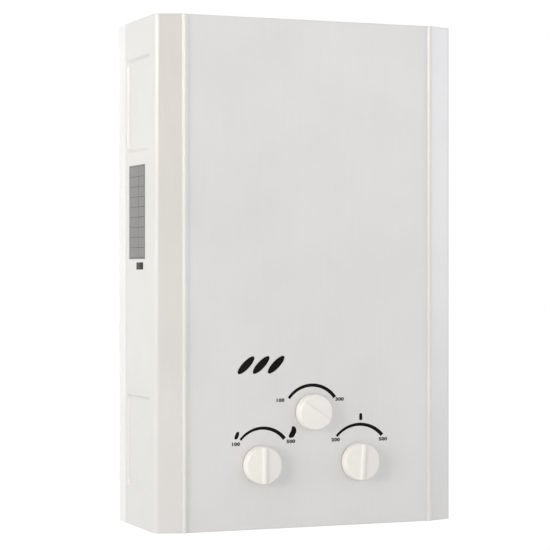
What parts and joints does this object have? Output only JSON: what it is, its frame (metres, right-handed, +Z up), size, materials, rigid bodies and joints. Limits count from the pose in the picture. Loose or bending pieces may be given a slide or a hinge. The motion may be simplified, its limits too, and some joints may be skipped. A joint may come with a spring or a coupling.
{
  "type": "wall-hung gas water heater",
  "caption": "Wall-hung flow-type LPG water heater: pressed stainless cover, three turning knobs, viewing slots, finned exchanger, burner, linked valves and a battery bay below.",
  "frame": {"origin": "bottom centre of the face that lies on the wall", "axes": "+X to the right seen from the front, +Y into the wall, +Z up"},
  "size_m": [0.3304, 0.1398, 0.5232],
  "materials": {
    "stainless": "fine upright brushed stainless sheet",
    "coated_steel": "satin pale grey coated sheet",
    "galvanised": "dull zinc coated sheet",
    "plate_grey": "printed grey foil",
    "ivory_plastic": "moulded ivory plastic, semi-gloss",
    "black_plastic": "moulded black plastic",
    "grey_plastic": "moulded pale grey plastic",
    "dark_glass": "smoked mica pane",
    "copper": "drawn copper with a lead-tin wash",
    "brass": "cast and turned brass",
    "die_cast": "die-cast aluminium, shot blasted",
    "steel": "plain bright steel",
    "screw_steel": "nickel plated steel",
    "rubber": "moulded rubber",
    "ceramic": "glazed white ceramic",
    "lead_red": "silicone high-tension lead",
    "cell_wrap": "plain wrapped steel can"
  },
  "bodies": {
    "heater": {"front_cover": "stainless", "back_panel": "coated_steel", "cover_screws": "screw_steel", "exhaust_grille": "galvanised", "base_panel": "galvanised", "data_plate": "plate_grey", "window_frame": "galvanised", "window_pane": "dark_glass", "gas_valve_body": "die_cast", "water_valve_body": "brass", "diaphragm": "rubber", "diaphragm_cover": "brass", "diaphragm_screws": "screw_steel", "return_spring": "steel", "microswitch": "black_plastic", "switch_bracket": "galvanised", "solenoid_body": "steel", "gas_inlet": "brass", "cold_inlet": "brass", "hot_outlet": "brass", "inlet_filter": "grey_plastic", "drain_plug": "grey_plastic", "burner_frame": "galvanised", "burner_blades": "stainless", "gas_manifold": "die_cast", "injectors": "brass", "season_valve_body": "die_cast", "gas_feed_pipe": "die_cast", "chamber_shell": "copper", "cold_riser": "copper", "chamber_coil": "copper", "hot_pipe": "copper", "exchanger_casing": "copper", "exchanger_fins": "copper", "exchanger_tube": "copper", "exchanger_headers": "copper", "overheat_sensor": "black_plastic", "draft_hood": "galvanised", "rear_brackets": "galvanised", "electrode_bracket": "galvanised", "electrode_insulators": "ceramic", "electrode_wires": "steel", "igniter_module": "black_plastic", "ignition_lead": "lead_red", "battery_box": "grey_plastic", "battery_cells": "cell_wrap", "battery_contact": "brass", "door_hinge_pin": "steel"},
    "gas_control": {"gas_knob": "ivory_plastic", "gas_spindle": "brass"},
    "season_control": {"season_knob": "ivory_plastic", "season_spindle": "brass"},
    "water_control": {"water_knob": "ivory_plastic", "water_spindle": "brass"},
    "battery_door": {"battery_door": "grey_plastic", "door_contact": "brass"},
    "push_rod": {"push_rod": "steel"},
    "switch_lever": {"switch_lever": "steel"},
    "solenoid_plunger": {"solenoid_plunger": "steel"}
  },
  "joints": [
    {"name": "gas_knob_turn", "type": "hinge", "parent": "heater", "child": "gas_control", "pos_m": [-0.0545, -0.126, 0.0655], "axis": [0, 1, 0], "range_deg": [-55, 55]},
    {"name": "season_knob_turn", "type": "hinge", "parent": "heater", "child": "season_control", "pos_m": [0.0023, -0.126, 0.118], "axis": [0, 1, 0], "range_deg": [0, 112]},
    {"name": "water_knob_turn", "type": "hinge", "parent": "heater", "child": "water_control", "pos_m": [0.0545, -0.126, 0.0655], "axis": [0, 1, 0], "range_deg": [-59, 51]},
    {"name": "battery_door_hinge", "type": "hinge", "parent": "heater", "child": "battery_door", "pos_m": [0.128, -0.0265, 0.021], "axis": [1, 0, 0], "range_deg": [0, 95]},
    {"name": "push_rod_slide", "type": "slide", "parent": "heater", "child": "push_rod", "axis": [-1, 0, 0], "range_m": [0, 0.004], "stiffness_N_per_m": 400, "springref_m": -0.006, "deforming": ["return_spring"]},
    {"name": "switch_lever_pivot", "type": "hinge", "parent": "heater", "child": "switch_lever", "pos_m": [-0.0015, -0.062, 0.084], "axis": [0, 1, 0], "range_deg": [0, 20]},
    {"name": "solenoid_slide", "type": "slide", "parent": "heater", "child": "solenoid_plunger", "axis": [-1, 0, 0], "range_m": [0, 0.003], "stiffness_N_per_m": 300, "springref_m": -0.005}
  ],
  "couplings": [
    {"joint": "switch_lever_pivot", "follows": "push_rod_slide", "rad_per_m": 85}
  ]
}
